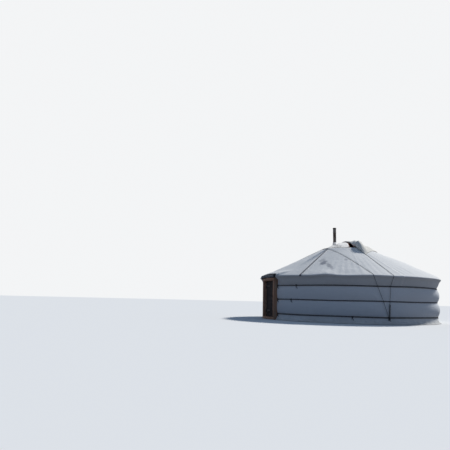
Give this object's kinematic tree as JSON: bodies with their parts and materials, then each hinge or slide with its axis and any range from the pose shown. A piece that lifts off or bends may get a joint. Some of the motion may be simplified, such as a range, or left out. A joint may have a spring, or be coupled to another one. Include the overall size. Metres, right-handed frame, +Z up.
{
  "type": "yurt",
  "caption": "Round felt tent with a low conical roof, a roped canvas cover, an open wooden crown with a stove pipe, and a hinged wooden door.",
  "frame": {"origin": "ground level in the middle of the room", "axes": "+Z up, door facing -Y, +X to the right of someone who looks in at the door"},
  "size_m": [6.3798, 6.3725, 3.393],
  "materials": {
    "frame_wood": "weathered red-brown stain",
    "leaf_wood": "near-black weathered paint on boards",
    "lattice_wood": "dry bare wood with a red wash",
    "painted_wood": "satin red paint",
    "iron": "dark forged iron",
    "felt": "pressed sheep's wool",
    "wall_canvas": "plain cotton canvas",
    "skirt_canvas": "plain cotton canvas, dusty foot",
    "roof_canvas": "plain cotton canvas",
    "cover_canvas": "felt-lined canvas",
    "flap_canvas": "rolled dark canvas",
    "rope": "dark twisted horsehair rope",
    "flashing_sheet": "bright galvanised sheet",
    "pipe_steel": "sooty sheet steel"
  },
  "bodies": {
    "tent": {"door_threshold": "frame_wood", "door_jamb_left": "frame_wood", "door_jamb_right": "frame_wood", "door_lintel": "frame_wood", "door_hinge_pins": "iron", "door_flap_roll": "flap_canvas", "lattice_front_right": "lattice_wood", "lattice_right": "lattice_wood", "lattice_back": "lattice_wood", "lattice_left": "lattice_wood", "lattice_front_left": "lattice_wood", "wall_felt_front_right": "felt", "wall_felt_back_right": "felt", "wall_felt_back_left": "felt", "wall_felt_front_left": "felt", "wall_canvas_right": "wall_canvas", "wall_canvas_left": "wall_canvas", "ground_skirt": "skirt_canvas", "girth_lower": "rope", "girth_middle": "rope", "girth_upper": "rope", "roof_poles_right": "painted_wood", "roof_poles_left": "painted_wood", "roof_felt_front": "felt", "roof_felt_back": "felt", "roof_canvas_front": "roof_canvas", "roof_canvas_back": "roof_canvas", "crown_ring": "painted_wood", "crown_spokes": "painted_wood", "crown_hub": "painted_wood", "crown_cover": "cover_canvas", "pipe_flashing": "flashing_sheet", "pipe_collar": "flashing_sheet", "stove_pipe": "pipe_steel", "pipe_cap": "pipe_steel", "support_post_right": "painted_wood", "support_post_left": "painted_wood", "roof_rope_front": "rope", "roof_rope_back": "rope", "roof_bands_front": "rope", "cover_ropes": "rope"},
    "door": {"door_leaf": "leaf_wood", "door_hinge_straps": "iron", "door_handle": "iron"}
  },
  "joints": [
    {"name": "door_hinge", "type": "hinge", "parent": "tent", "child": "door", "pos_m": [-0.39434, -3.04256, 0.7], "axis": [0, 0, -1], "range_deg": [0, 88]}
  ]
}
